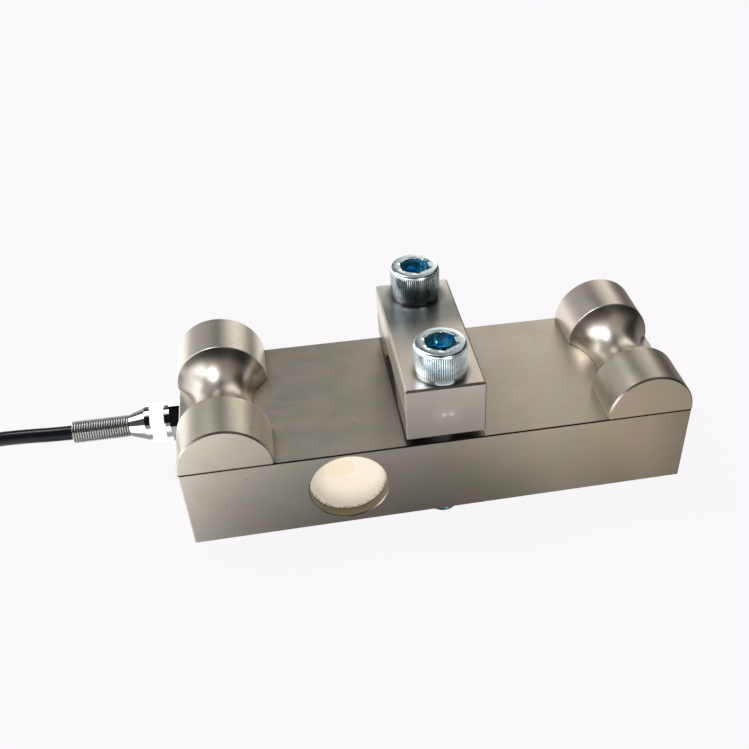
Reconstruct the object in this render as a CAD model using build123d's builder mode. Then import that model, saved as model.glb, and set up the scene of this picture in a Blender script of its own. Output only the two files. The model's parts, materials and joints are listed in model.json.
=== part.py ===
from build123d import *
import math
import os

# A clamp-on wire rope load cell. The rope runs along X, over a grooved half-round saddle at each
# end of a beam and under a clamp bar between them, so its pull bends the beam.
# Z is up and Z = 0 is the plane of the clamp screws' tips.

# Beam
beam_length = 180.0
beam_width = 68.5
beam_height = 31.6
beam_edge = 0.4

# Saddles
saddle_radius = 16.0
saddle_overhang = 0.3
saddle_neck_radius = 10.0
saddle_groove_radius = 21.4
saddle_edge = 0.6
saddle_groove_edge = 0.8

# Saddle screws, M6, from beneath
saddle_screw_radius = 3.0
saddle_screw_clearance = 0.3
saddle_screw_length = 30.0
saddle_screw_edge = 8.25
saddle_head_radius = 5.0
saddle_head_height = 6.0
saddle_head_clearance = 0.5
saddle_head_depth = 10.0
saddle_socket_flats = 5.0
saddle_socket_depth = 3.0
tapped_spare = 1.5

# Clamp bar
clamp_width = 27.4
clamp_thickness = 20.0
clamp_gap = 3.0
clamp_groove_radius = 18.0
clamp_groove_depth = 8.0
clamp_edge = 0.7
clamp_hole_clearance = 0.5

# Clamp screws, M12, tapped through the beam
screw_radius = 6.0
screw_length = 60.0
screw_edge = 9.25
screw_tip = 1.0
thread_clearance = 0.06
head_radius = 9.0
head_height = 12.0
head_rim = 1.1
head_foot_height = 2.0
head_foot_inset = 0.35
socket_flats = 10.0
socket_depth = 6.5
socket_cone = 1.8

# Gauge pockets in the front and rear faces, with a shear web between them
pocket_x = -34.6
pocket_above_base = 16.5
pocket_radius = 13.7
pocket_edge = 0.4
web_thickness = 6.0
web_hole_radius = 2.2
web_hole_rise = 9.3

# Potting in the pockets' mouths
potting_recess = 4.7
potting_thickness = 8.0
potting_clearance = 0.04
potting_meniscus = 0.5

# Strain gauges and solder terminals on the web
gauge_width = 12.0
gauge_height = 9.0
gauge_thickness = 0.3
gauge_corner = 1.0
strip_width = 13.0
strip_height = 4.4
strip_thickness = 1.2
strip_drop = 8.4
pad_count = 4
pad_pitch = 3.0
pad_radius = 1.0
pad_height = 0.5

# Wires between the two sides of the web
bridge_wire_radius = 0.35
bridge_wire_pitch = 0.9
bridge_wire_reach = 3.4
bridge_wire_bend = 1.2
pad_seat_shift = 0.55

# Cable and its cores
cable_radius = 2.7
core_radius = 0.55
core_spread = 0.95
core_bend = 2.0
jacket_in_pocket = 2.0

# Cable gland in the left end face
gland_edge = 17.95
gland_thread_radius = 5.0
gland_thread_length = 9.0
gland_bore_radius = 3.0
wire_passage_radius = 3.2
gasket_thickness = 1.0
gasket_radius = 6.6
gland_hex_radius = 7.75
gland_hex_length = 4.5
gland_hex_turn = 160.0
gland_collar_radius = 6.3
gland_collar_length = 2.0
gland_neck_radius = 5.2
gland_neck_length = 6.4
seal_radius = 4.3
seal_length = 4.6
seal_seat = 2.0
fit_clearance = 0.05

# Compression nut
nut_hex_radius = 8.1
nut_hex_length = 5.0
nut_hex_turn = 143.0
nut_collar_radius = 6.5
nut_collar_length = 2.1
nut_nose_radius = 4.45
nut_nose_length = 5.9
nut_nose_wall = 0.8

# Spring strain relief
spring_radius = 4.2
spring_wire = 0.87
spring_turns = 23
spring_seat_turns = 3
spring_valley = 0.28
spring_crest = 0.32

# The cable's put-away coil, on the surface that the screw tips stand on
coil_turns_across = 5
coil_layers = 3
coil_mean_radius = 32.4
coil_x = -241.0
coil_y = -14.5
coil_corner = 1.5
lead_in_length = 26.0
lead_in_inset = 0.3
tie_thickness = 1.0
tie_slack = 0.2
tie_width = 4.8
tie_angle = 205.0
tie_lock_height = 3.4
tie_lock_length = 6.0
tail_angle = 250.0
tail_sweep = 60.0
sleeve_radius = 3.05
sleeve_sweep = 34.0
end_core_radius = 0.6
end_core_sweeps = {"red": 88.0, "black": 80.0, "green": 94.0, "white": 84.0}

# Places that follow from the sizes
base_z = screw_length - clamp_thickness - clamp_gap - beam_height
top_z = base_z + beam_height
clamp_z = top_z + clamp_gap
saddle_x = beam_length / 2 + saddle_overhang - saddle_radius
pocket_z = base_z + pocket_above_base
gland_z = pocket_z
gland_x = -beam_length / 2
pocket_depth = (beam_width - web_thickness) / 2
saddle_screw_y = beam_width / 2 - saddle_screw_edge
clamp_length = beam_width
screw_y = clamp_length / 2 - screw_edge
gland_y = beam_width / 2 - gland_edge
end_face = Plane(origin=(gland_x, gland_y, gland_z), x_dir=(-1, 0, 0), z_dir=(0, 1, 0))
gland_axis = Axis((gland_x, gland_y, gland_z), (1, 0, 0))

os.makedirs("parts", exist_ok=True)


def save(piece, name):
    piece.label = name
    export_step(piece, f"parts/{name}.step")


def across_gland(distance_out):
    """A plane square to the gland's axis, that far out of the end face, with X along Y and Y up."""
    return Plane(origin=(gland_x - distance_out, gland_y, gland_z), x_dir=(0, 1, 0), z_dir=(1, 0, 0))


def pocket_plane(side):
    """The web's face on one side, seen from outside: side is -1 at the front, 1 at the rear."""
    return Plane(origin=(pocket_x, side * web_thickness / 2, pocket_z), x_dir=(1, 0, 0), z_dir=(0, side, 0))


# The beam, with its pockets, tapped holes, counterbored holes and wire passages
with BuildPart() as body:
    with BuildSketch(Plane.XY.offset(base_z)):
        Rectangle(beam_length, beam_width)
    extrude(amount=beam_height)
    chamfer(body.edges(), beam_edge)
    for side in (-1, 1):
        with BuildSketch(pocket_plane(side)):
            Circle(pocket_radius)
        extrude(amount=pocket_depth, mode=Mode.SUBTRACT)
        mouth = body.faces().sort_by(Axis.Y)[0 if side < 0 else -1].inner_wires()
        chamfer(mouth.edges(), pocket_edge)
    with BuildSketch(Plane.XZ.offset(-web_thickness)):
        with Locations((pocket_x, pocket_z + web_hole_rise)):
            Circle(web_hole_radius)
    extrude(amount=2 * web_thickness, mode=Mode.SUBTRACT)
    with BuildSketch(Plane.XY.offset(base_z)):
        with GridLocations(0, 2 * screw_y, 1, 2):
            Circle(screw_radius + thread_clearance)
    extrude(amount=beam_height, mode=Mode.SUBTRACT)
    with BuildSketch(Plane.XY.offset(base_z)):
        with GridLocations(2 * saddle_x, 2 * saddle_screw_y, 2, 2):
            Circle(saddle_screw_radius + saddle_screw_clearance)
    extrude(amount=beam_height, mode=Mode.SUBTRACT)
    with BuildSketch(Plane.XY.offset(base_z)):
        with GridLocations(2 * saddle_x, 2 * saddle_screw_y, 2, 2):
            Circle(saddle_head_radius + saddle_head_clearance)
    extrude(amount=saddle_head_depth, mode=Mode.SUBTRACT)
    with BuildSketch(across_gland(0)):
        Circle(gland_thread_radius + fit_clearance)
    extrude(amount=gland_thread_length + tapped_spare, mode=Mode.SUBTRACT)
    with BuildSketch(across_gland(0)):
        Circle(wire_passage_radius)
    extrude(amount=pocket_x - gland_x, mode=Mode.SUBTRACT)
save(body.part, "body")

# The saddles: half-round bars across the beam, turned to a rope groove
groove_centre = saddle_neck_radius + saddle_groove_radius
groove_half = math.sqrt(saddle_groove_radius**2 - (groove_centre - saddle_radius) ** 2)
saddle_tap_depth = saddle_screw_length - (beam_height - saddle_head_depth) + tapped_spare
for name, side in (("left_saddle", -1), ("right_saddle", 1)):
    x = side * saddle_x
    with BuildPart() as saddle:
        with BuildSketch(Plane(origin=(x, 0, top_z), x_dir=(0, 1, 0), z_dir=(0, 0, 1))) as profile:
            with BuildLine():
                Polyline(
                    (groove_half, saddle_radius),
                    (beam_width / 2, saddle_radius),
                    (beam_width / 2, 0),
                    (-beam_width / 2, 0),
                    (-beam_width / 2, saddle_radius),
                    (-groove_half, saddle_radius),
                )
                ThreePointArc(
                    (-groove_half, saddle_radius), (0, saddle_neck_radius), (groove_half, saddle_radius)
                )
            make_face()
            rim = profile.vertices().group_by(Axis.X)
            chamfer(rim[0].sort_by(Axis.Y)[-1:] + rim[-1].sort_by(Axis.Y)[-1:], saddle_edge)
            fillet(rim[1] + rim[-2], saddle_groove_edge)
        revolve(axis=Axis((x, 0, top_z), (0, 1, 0)), revolution_arc=180)
        with BuildSketch(Plane.XY.offset(top_z)):
            with Locations((x, saddle_screw_y), (x, -saddle_screw_y)):
                Circle(saddle_screw_radius + fit_clearance)
        extrude(amount=saddle_tap_depth, mode=Mode.SUBTRACT)
    save(saddle.part, name)

# Screws from beneath into the saddles
corners = [(sx * saddle_x, sy * saddle_screw_y) for sx in (-1, 1) for sy in (-1, 1)]
head_z = base_z + saddle_head_depth
for number, (x, y) in enumerate(corners, start=1):
    with BuildPart() as saddle_screw:
        with BuildSketch(Plane(origin=(x, y, head_z))):
            Circle(saddle_screw_radius)
        extrude(amount=saddle_screw_length)
        with BuildSketch(Plane(origin=(x, y, head_z))):
            Circle(saddle_head_radius)
        extrude(amount=-saddle_head_height)
        with BuildSketch(Plane(origin=(x, y, head_z - saddle_head_height))):
            RegularPolygon(saddle_socket_flats / 2, 6, major_radius=False)
        extrude(amount=saddle_socket_depth, mode=Mode.SUBTRACT)
    save(saddle_screw.part, f"saddle_screw_{number}")

# The clamp bar, with the rope's groove along X in the middle of its underside
clamp_groove_half = math.sqrt(clamp_groove_radius**2 - (clamp_groove_radius - clamp_groove_depth) ** 2)
with BuildPart() as clamp_bar:
    with BuildSketch(Plane(origin=(-clamp_width / 2, 0, clamp_z), x_dir=(0, 1, 0), z_dir=(1, 0, 0))):
        with BuildLine():
            Polyline(
                (clamp_groove_half, 0),
                (clamp_length / 2, 0),
                (clamp_length / 2, clamp_thickness),
                (-clamp_length / 2, clamp_thickness),
                (-clamp_length / 2, 0),
                (-clamp_groove_half, 0),
            )
            ThreePointArc((-clamp_groove_half, 0), (0, clamp_groove_depth), (clamp_groove_half, 0))
        make_face()
    extrude(amount=clamp_width)
    chamfer(clamp_bar.faces().sort_by(Axis.Z)[-1].edges(), clamp_edge)
    chamfer(clamp_bar.edges().filter_by(Axis.Z), clamp_edge / 2)
    with BuildSketch(Plane.XY.offset(clamp_z)):
        with GridLocations(0, 2 * screw_y, 1, 2):
            Circle(screw_radius + clamp_hole_clearance)
    extrude(amount=clamp_thickness, mode=Mode.SUBTRACT)
save(clamp_bar.part, "clamp_bar")

# The clamp screws: socket heads with a turned foot, their tips standing out under the beam
for name, side in (("clamp_screw_front", -1), ("clamp_screw_rear", 1)):
    y = side * screw_y
    with BuildPart() as clamp_screw:
        with BuildSketch(Plane(origin=(0, y, 0), x_dir=(1, 0, 0), z_dir=(0, -1, 0))):
            with BuildLine():
                Polyline(
                    (0, 0),
                    (screw_radius - screw_tip, 0),
                    (screw_radius, screw_tip),
                    (screw_radius, screw_length),
                    (head_radius - head_foot_inset, screw_length),
                    (head_radius - head_foot_inset, screw_length + head_foot_height),
                    (head_radius, screw_length + head_foot_height + head_foot_inset),
                    (head_radius, screw_length + head_height - head_rim),
                    (head_radius - head_rim, screw_length + head_height),
                    (0, screw_length + head_height),
                    close=True,
                )
            make_face()
        revolve(axis=Axis((0, y, 0), (0, 0, 1)))
        with BuildSketch(Plane(origin=(0, y, screw_length + head_height))):
            RegularPolygon(socket_flats / 2, 6, major_radius=False, rotation=30)
        extrude(amount=-socket_depth, mode=Mode.SUBTRACT)
        with BuildSketch(Plane(origin=(0, y, screw_length + head_height - socket_depth)), mode=Mode.PRIVATE) as cone:
            Circle(socket_flats / 2 - fit_clearance)
        extrude(cone.sketch, amount=-socket_cone, taper=60, mode=Mode.SUBTRACT)
    save(clamp_screw.part, name)

# What the pockets hold: gauges, terminals and the potting in each mouth
for name, side in (("front", -1), ("rear", 1)):
    web = pocket_plane(side)
    with BuildPart() as gauge:
        with BuildSketch(web):
            RectangleRounded(gauge_width, gauge_height, gauge_corner)
        extrude(amount=gauge_thickness)
    save(gauge.part, f"{name}_gauge")

    # The strip lies below the gauge on both sides, though the rear plane's Y points down
    drop = -strip_drop * web.y_dir.Z
    with BuildPart() as terminals:
        with BuildSketch(web):
            with Locations((0, drop)):
                Rectangle(strip_width, strip_height)
        extrude(amount=strip_thickness)
        with BuildSketch(web.offset(strip_thickness)):
            with Locations((0, drop)):
                with GridLocations(pad_pitch, 0, pad_count, 1):
                    Circle(pad_radius)
        extrude(amount=pad_height)
    save(terminals.part, f"{name}_terminals")

    outer = beam_width / 2 - web_thickness / 2 - potting_recess
    with BuildPart() as potting:
        with BuildSketch(Plane(origin=web.origin, x_dir=(1, 0, 0), z_dir=(0, 0, 1))) as section:
            with BuildLine():
                reach = pocket_radius - potting_clearance
                Polyline(
                    (0, side * outer),
                    (0, side * (outer - potting_thickness)),
                    (reach, side * (outer - potting_thickness)),
                    (reach, side * (outer + potting_meniscus)),
                )
                ThreePointArc(
                    (reach, side * (outer + potting_meniscus)),
                    (reach - 1.5 * potting_meniscus, side * (outer + potting_meniscus / 4)),
                    (reach - 4 * potting_meniscus, side * outer),
                )
                Line((reach - 4 * potting_meniscus, side * outer), (0, side * outer))
            make_face()
        revolve(axis=Axis(web.origin, (0, 1, 0)))
    save(potting.part, f"{name}_potting")

# Four wires, side by side, join the terminals through the hole above the gauges
pad_face = web_thickness / 2 + strip_thickness + pad_height
pad_z = pocket_z - strip_drop
hole_z = pocket_z + web_hole_rise
rise_y = pad_face + bridge_wire_reach
bridge_wires = []
for i in range(pad_count):
    pad_x = pocket_x + (i - (pad_count - 1) / 2) * pad_pitch
    hole_x = pocket_x + (i - (pad_count - 1) / 2) * bridge_wire_pitch
    with BuildPart() as bridge_wire:
        with BuildLine() as path:
            FilletPolyline(
                (pad_x, -pad_face, pad_z + pad_seat_shift),
                (pad_x, -rise_y, pad_z + pad_seat_shift),
                (hole_x, -rise_y, hole_z),
                (hole_x, rise_y, hole_z),
                (pad_x, rise_y, pad_z + pad_seat_shift),
                (pad_x, pad_face, pad_z + pad_seat_shift),
                radius=bridge_wire_bend,
            )
        with BuildSketch(Plane(origin=path.line @ 0, z_dir=path.line % 0)):
            Circle(bridge_wire_radius)
        sweep()
    bridge_wires.append(bridge_wire.part)
save(Compound(children=bridge_wires), "bridge_wires")

# The cable's cores, from the end of the jacket in the rear pocket to the rear terminals
jacket_end_x = pocket_x - pocket_radius + jacket_in_pocket
for i, colour in enumerate(("red", "black", "green", "white")):
    pad_x = pocket_x + (i - (pad_count - 1) / 2) * pad_pitch
    start_y = gland_y + (core_spread if i % 2 else -core_spread)
    start_z = gland_z + (core_spread if i >= 2 else -core_spread)
    with BuildPart() as core:
        with BuildLine() as path:
            FilletPolyline(
                (jacket_end_x, start_y, start_z),
                (pad_x, start_y, start_z),
                (pad_x, start_y, pad_z - pad_seat_shift),
                (pad_x, pad_face, pad_z - pad_seat_shift),
                radius=core_bend,
            )
        with BuildSketch(Plane(origin=path.line @ 0, z_dir=path.line % 0)):
            Circle(core_radius)
        sweep()
    save(core.part, f"core_{colour}")

# Cable gland: gasket, body, rubber seal, nut and spring
hex_start = gasket_thickness
collar_start = hex_start + gland_hex_length
nut_start = collar_start + gland_collar_length
nose_start = nut_start + nut_hex_length + nut_collar_length
nut_end = nose_start + nut_nose_length
neck_end = nut_start + gland_neck_length
seal_end = neck_end - seal_seat + seal_length

with BuildPart() as gland_gasket:
    with BuildSketch(across_gland(gasket_thickness)):
        Circle(gasket_radius)
        Circle(gland_thread_radius + fit_clearance, mode=Mode.SUBTRACT)
    extrude(amount=gasket_thickness)
save(gland_gasket.part, "gland_gasket")

with BuildPart() as gland_body:
    with BuildSketch(across_gland(collar_start)):
        RegularPolygon(gland_hex_radius, 6, rotation=gland_hex_turn)
    extrude(amount=gland_hex_length)
    with BuildSketch(end_face):
        with BuildLine():
            Polyline(
                (-gland_thread_length, 0),
                (-gland_thread_length, gland_thread_radius),
                (hex_start, gland_thread_radius),
                (collar_start, gland_thread_radius),
                (collar_start, gland_collar_radius),
                (nut_start, gland_collar_radius),
                (nut_start, gland_neck_radius),
                (neck_end, gland_neck_radius),
                (neck_end, 0),
                close=True,
            )
        make_face()
    revolve(axis=gland_axis)
    with BuildSketch(end_face):
        with BuildLine():
            Polyline(
                (-gland_thread_length, 0),
                (-gland_thread_length, gland_bore_radius),
                (neck_end - seal_seat, gland_bore_radius),
                (neck_end - seal_seat, seal_radius + fit_clearance),
                (neck_end, seal_radius + fit_clearance),
                (neck_end, 0),
                close=True,
            )
        make_face()
    revolve(axis=gland_axis, mode=Mode.SUBTRACT)
save(gland_body.part, "gland_body")

with BuildPart() as cable_seal:
    with BuildSketch(across_gland(seal_end)):
        Circle(seal_radius)
        Circle(cable_radius + fit_clearance, mode=Mode.SUBTRACT)
    extrude(amount=seal_length)
save(cable_seal.part, "cable_seal")

spring_seat_radius = nut_nose_radius - nut_nose_wall
spring_seat = spring_seat_turns * spring_wire
with BuildPart() as compression_nut:
    with BuildSketch(across_gland(nut_start + nut_hex_length)):
        RegularPolygon(nut_hex_radius, 6, rotation=nut_hex_turn)
    extrude(amount=nut_hex_length)
    with BuildSketch(end_face):
        with BuildLine():
            Polyline(
                (nut_start, 0),
                (nut_start, nut_collar_radius),
                (nose_start, nut_collar_radius),
                (nut_end, nut_nose_radius),
                (nut_end, 0),
                close=True,
            )
        make_face()
    revolve(axis=gland_axis)
    with BuildSketch(end_face):
        with BuildLine():
            Polyline(
                (nut_start, 0),
                (nut_start, gland_neck_radius + fit_clearance),
                (seal_end, gland_neck_radius + fit_clearance),
                (seal_end, gland_bore_radius),
                (nut_end - spring_seat, gland_bore_radius),
                (nut_end - spring_seat, spring_seat_radius),
                (nut_end, spring_seat_radius),
                (nut_end, 0),
                close=True,
            )
        make_face()
    revolve(axis=gland_axis, mode=Mode.SUBTRACT)
save(compression_nut.part, "compression_nut")

# Each turn of the spring is a ridge; the last turns are smaller and sit in the nut's nose
spring_bore_radius = cable_radius + 2 * fit_clearance
spring_spigot_radius = spring_seat_radius - fit_clearance
spring_end = nut_end + spring_turns * spring_wire
with BuildPart() as spring:
    with BuildSketch(end_face):
        with BuildLine():
            Polyline(
                (nut_end, spring_radius - spring_valley),
                (nut_end, spring_spigot_radius),
                (nut_end - spring_seat, spring_spigot_radius),
                (nut_end - spring_seat, spring_bore_radius),
                (spring_end, spring_bore_radius),
                (spring_end, spring_radius - spring_valley),
            )
            for i in range(spring_turns):
                ridge = nut_end + i * spring_wire
                Polyline(
                    (ridge, spring_radius - spring_valley),
                    (ridge + (spring_wire - spring_crest) / 2, spring_radius),
                    (ridge + (spring_wire + spring_crest) / 2, spring_radius),
                    (ridge + spring_wire, spring_radius - spring_valley),
                )
        make_face()
    revolve(axis=gland_axis)
save(spring.part, "strain_relief_spring")

# The cable inside the gland and the spring, straight
cable_exit_x = gland_x - spring_end + 2 * spring_wire
with BuildPart() as cable_inner:
    with BuildSketch(Plane(origin=(cable_exit_x, gland_y, gland_z), z_dir=(1, 0, 0))):
        Circle(cable_radius)
    extrude(amount=jacket_end_x - cable_exit_x)
save(cable_inner.part, "cable_inner")

# The free cable: out of the spring, down to the surface and along it into the coil
coil_base_z = tie_thickness
lead_in_y = coil_y + coil_mean_radius + (coil_turns_across - 1) * cable_radius - lead_in_inset
lead_in_x = coil_x + lead_in_length
lead_in_z = coil_base_z + cable_radius
route = [
    (cable_exit_x, gland_y, gland_z),
    (-136.2, gland_y, gland_z),
    (-147.5, 17.4, 21.9),
    (-161.5, 19.0, 21.0),
    (-175.5, 21.7, 15.5),
    (-189.0, 25.4, 7.3),
    (-202.0, lead_in_y, lead_in_z),
    (lead_in_x, lead_in_y, lead_in_z),
]


def bend_radii(points):
    """The largest arc at each corner that leaves a tenth of the shorter run straight."""
    runs = [Vector(*b) - Vector(*a) for a, b in zip(points, points[1:])]
    radii = []
    for before, after in zip(runs, runs[1:]):
        half_turn = math.radians(before.get_angle(after)) / 2
        radii.append(0.45 * min(before.length, after.length) / math.tan(half_turn))
    return radii


radii = bend_radii(route)
print("cable bend radii", [round(radius, 1) for radius in radii])
with BuildPart() as cable:
    with BuildLine() as path:
        FilletPolyline(*route, radius=radii)
    with BuildSketch(Plane(origin=path.line @ 0, z_dir=path.line % 0)):
        Circle(cable_radius)
    sweep()
tube_length = sum(edge.length for edge in path.edges())
print("cable tube", round(tube_length, 1), "mm long,", round(cable.part.volume, 1), "mm3, section times length",
      round(math.pi * cable_radius**2 * tube_length, 1))
save(cable.part, "cable")

# The coil: three layers of turns, the top one a turn short, where the cable's end lies
turn = 2 * cable_radius
ring_inner = coil_mean_radius - coil_turns_across * cable_radius
ring_outer = coil_mean_radius + coil_turns_across * cable_radius
top_layer_z = coil_base_z + (coil_layers - 1) * turn
coil_top_z = coil_base_z + coil_layers * turn
coil_axis = Axis((coil_x, coil_y, 0), (0, 0, 1))


def coil_section(angle):
    """The upright plane through the coil's axis at that angle, with X outwards and Y up."""
    outward = Vector(1, 0, 0).rotate(Axis.Z, angle)
    return Plane(origin=(coil_x, coil_y, 0), x_dir=outward, z_dir=outward.cross(Vector(0, 0, 1)))


with BuildPart() as cable_coil:
    with BuildSketch(coil_section(0)) as bundle:
        with BuildLine():
            Polyline(
                (ring_inner, coil_base_z),
                (ring_outer, coil_base_z),
                (ring_outer, coil_top_z),
                (ring_inner + turn, coil_top_z),
                (ring_inner + turn, top_layer_z),
                (ring_inner, top_layer_z),
                close=True,
            )
        make_face()
        chamfer(bundle.vertices().group_by(Axis.Y)[0] + bundle.vertices().group_by(Axis.Y)[-1], coil_corner)
    revolve(axis=coil_axis)
    with BuildSketch(Plane(origin=(lead_in_x, lead_in_y, lead_in_z), z_dir=(-1, 0, 0))):
        RegularPolygon(cable_radius, 8, major_radius=False, rotation=22.5)
    extrude(amount=lead_in_length)
    with BuildSketch(coil_section(tail_angle)):
        with Locations((ring_inner + cable_radius, top_layer_z + cable_radius)):
            RegularPolygon(cable_radius, 8, major_radius=False, rotation=22.5)
    revolve(axis=coil_axis, revolution_arc=tail_sweep)
save(cable_coil.part, "cable_coil")

# The tie round the bundle of turns, with its lock on top
tie_plane = coil_section(tie_angle)
tie_inside = ring_outer - ring_inner + 2 * tie_slack
with BuildPart() as cable_tie:
    with BuildSketch(tie_plane.offset(-tie_width / 2)):
        with Locations((coil_mean_radius, coil_base_z + coil_layers * cable_radius)):
            Rectangle(tie_inside + 2 * tie_thickness, coil_layers * turn + 2 * tie_thickness)
            Rectangle(tie_inside, coil_layers * turn, mode=Mode.SUBTRACT)
    extrude(amount=tie_width)
    with BuildSketch(tie_plane.offset(-tie_width / 2)):
        with Locations((coil_mean_radius, coil_top_z + tie_thickness + tie_lock_height / 2)):
            Rectangle(tie_lock_length, tie_lock_height)
    extrude(amount=tie_width)
save(cable_tie.part, "cable_tie")

# The cable's far end lies in the top layer's empty turn: a heat-shrink sleeve, then four bare cores
sleeve_angle = tail_angle + tail_sweep
sleeve_ring = ring_inner + turn - sleeve_radius
with BuildPart() as end_sleeve:
    with BuildSketch(coil_section(sleeve_angle)):
        with Locations((sleeve_ring, top_layer_z + sleeve_radius)):
            Circle(sleeve_radius)
    revolve(axis=coil_axis, revolution_arc=sleeve_sweep)
save(end_sleeve.part, "end_sleeve")

core_angle = sleeve_angle + sleeve_sweep
core_step = 2 * end_core_radius + fit_clearance
places = [(-1, 0), (0, 0), (1, 0), (0, 1)]
for (colour, sweep_angle), (across, up) in zip(end_core_sweeps.items(), places):
    with BuildPart() as end_core:
        with BuildSketch(coil_section(core_angle)):
            with Locations((sleeve_ring + across * core_step, top_layer_z + (2 * up + 1) * core_step / 2)):
                Circle(end_core_radius)
        revolve(axis=coil_axis, revolution_arc=sweep_angle)
    save(end_core.part, f"end_{colour}")
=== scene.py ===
import bmesh
import bpy
import json
import math
from mathutils import Matrix, Vector


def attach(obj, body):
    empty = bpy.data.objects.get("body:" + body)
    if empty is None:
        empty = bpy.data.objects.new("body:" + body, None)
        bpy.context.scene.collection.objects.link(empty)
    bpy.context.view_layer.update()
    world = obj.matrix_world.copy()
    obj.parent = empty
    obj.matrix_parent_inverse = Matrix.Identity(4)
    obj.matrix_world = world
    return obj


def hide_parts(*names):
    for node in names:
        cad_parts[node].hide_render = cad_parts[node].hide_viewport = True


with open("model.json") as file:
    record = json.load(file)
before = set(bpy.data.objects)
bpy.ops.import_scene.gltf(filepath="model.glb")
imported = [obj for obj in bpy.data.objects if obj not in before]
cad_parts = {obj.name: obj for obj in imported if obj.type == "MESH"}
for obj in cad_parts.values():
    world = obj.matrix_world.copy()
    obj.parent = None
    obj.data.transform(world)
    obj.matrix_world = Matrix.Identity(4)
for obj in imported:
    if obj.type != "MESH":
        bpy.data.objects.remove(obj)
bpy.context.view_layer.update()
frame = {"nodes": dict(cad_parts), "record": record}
nodes = frame["nodes"]
slotOf = {part["node"]: part["material_slot"] for part in frame["record"]["subparts"]}
mm = 0.001
print("frame loaded:", len(nodes), "nodes")


# A node's output that takes plain arithmetic
class Wire:
    def __init__(self, finish, socket):
        self.finish = finish
        self.socket = socket

    def maths(self, operation, *values):
        return self.finish.node("ShaderNodeMath", {"operation": operation}, dict(enumerate(values)))

    def __add__(self, other):
        return self.maths("ADD", self, other)

    def __radd__(self, other):
        return self.maths("ADD", other, self)

    def __sub__(self, other):
        return self.maths("SUBTRACT", self, other)

    def __rsub__(self, other):
        return self.maths("SUBTRACT", other, self)

    def __mul__(self, other):
        return self.maths("MULTIPLY", self, other)

    def __rmul__(self, other):
        return self.maths("MULTIPLY", other, self)

    def __truediv__(self, other):
        return self.maths("DIVIDE", self, other)

    def __rtruediv__(self, other):
        return self.maths("DIVIDE", other, self)

    def __pow__(self, other):
        return self.maths("POWER", self, other)

    def __rpow__(self, other):
        return self.maths("POWER", other, self)

    def above(self, other):
        return self.maths("GREATER_THAN", self, other)

    def below(self, other):
        return self.maths("LESS_THAN", self, other)

    def within(self, low, high):
        return self.above(low) * self.below(high)

    def least(self, other):
        return self.maths("MINIMUM", self, other)

    def size(self):
        return self.maths("ABSOLUTE", self)

    def sine(self):
        return self.maths("SINE", self)


def span(value, low, high):
    return (value - low) * (1 / (high - low))


def distance(*offsets):
    return sum(offset * offset for offset in offsets) ** 0.5


def shade(tone, share):
    return tuple(level * share for level in tone)


class Finish:
    def __init__(self, name, world=None):
        self.owner = world or bpy.data.materials.new(name)
        self.owner.use_nodes = True
        self.tree = self.owner.node_tree
        self.tree.nodes.clear()

    def node(self, kind, settings=None, values=None, out=0):
        # The settings come first, because the sockets depend on them
        made = self.tree.nodes.new(kind)
        for key, setting in (settings or {}).items():
            if key == "stops":
                stops = made.color_ramp.elements
                while len(stops) < len(setting):
                    stops.new(0.5)
                for stop, (place, colour) in zip(stops, setting):
                    stop.position = place
                    stop.color = (*colour, 1)
            else:
                setattr(made, key, setting)
        for key, value in (values or {}).items():
            slot = made.inputs[key]
            if isinstance(value, Wire):
                self.tree.links.new(value.socket, slot)
            else:
                slot.default_value = (*value, 1) if slot.type == "RGBA" else value
        return Wire(self, made.outputs[out]) if len(made.outputs) else None

    def place(self):
        return self.node("ShaderNodeTexCoord", out="Object")

    def axes(self, vector):
        return [self.node("ShaderNodeSeparateXYZ", None, {"Vector": vector}, axis) for axis in "XYZ"]

    def noise(self, vector, scale, detail, rough):
        # Three scales stretch it along the axes
        if isinstance(scale, tuple):
            vector = self.node("ShaderNodeMapping", None, {"Vector": vector, "Scale": scale})
            scale = 1.0
        values = {"Vector": vector, "Scale": scale, "Detail": detail, "Roughness": rough}
        return self.node("ShaderNodeTexNoise", None, values, "Fac")

    def ramp(self, value, stops):
        # Each stop has the value it stands at, and a colour or a level of grey
        low, high = stops[0][0], stops[-1][0]
        shares = [((place - low) / (high - low), level if isinstance(level, tuple) else (level,) * 3)
                  for place, level in stops]
        return self.node("ShaderNodeValToRGB", {"stops": shares}, {"Fac": span(value, low, high)}, "Color")

    def blend(self, amount, first, second, how="MIX"):
        settings = {"data_type": "RGBA", "blend_type": how}
        return self.node("ShaderNodeMix", settings, {0: amount, 6: first, 7: second}, 2)

    def bump(self, height, strength, depth):
        values = {"Height": height, "Strength": strength, "Distance": depth}
        return self.node("ShaderNodeBump", None, values)

    def surface(self, values):
        shader = self.node("ShaderNodeBsdfPrincipled", None, values)
        self.node("ShaderNodeOutputMaterial", None, {"Surface": shader})
        return self.owner


# Camera
view = {
    "azimuth": -13.144, "elevation": 42.415, "roll": -1.002,  # degrees
    "place": (-46.06, -276.06, 242.15),  # mm
    "focal": 929.68, "frameSize": 749, "axisPixel": (475.40, 483.79),  # pixels
    "sensor": 36.0, "nearest": 0.01,
}


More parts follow.
